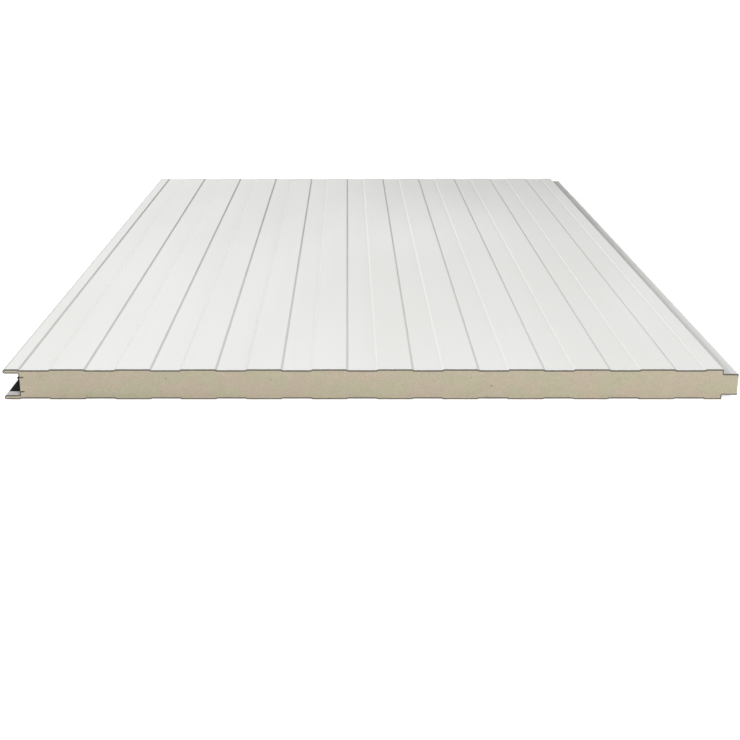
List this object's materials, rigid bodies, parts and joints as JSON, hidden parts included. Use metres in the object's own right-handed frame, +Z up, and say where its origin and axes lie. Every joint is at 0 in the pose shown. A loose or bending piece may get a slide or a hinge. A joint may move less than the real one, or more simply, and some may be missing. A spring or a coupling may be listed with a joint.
{
  "type": "insulated sandwich panel",
  "caption": "Flat insulated panel: two fluted, coated steel skins on a rigid foam core, with a sealed groove along one long edge and a tongue along the other.",
  "frame": {"origin": "middle of the underside, on the plane of the inner skin's raised flats", "axes": "+Y along the panel's length, +X across its width from the grooved edge to the tongued edge, +Z up from the inner skin to the outer skin"},
  "size_m": [1.1716, 1.8, 0.05],
  "materials": {
    "outer_coating": "smooth satin coil coating, off-white",
    "inner_coating": "smooth satin coil coating, off-white",
    "foam": "saw-cut closed-cell rigid foam, pale beige",
    "seal": "soft black gasket"
  },
  "bodies": {
    "root": {"outer_skin": "outer_coating", "inner_skin": "inner_coating", "foam_core": "foam", "seal_strip": "seal", "lip_tape": "seal"}
  },
  "joints": []
}
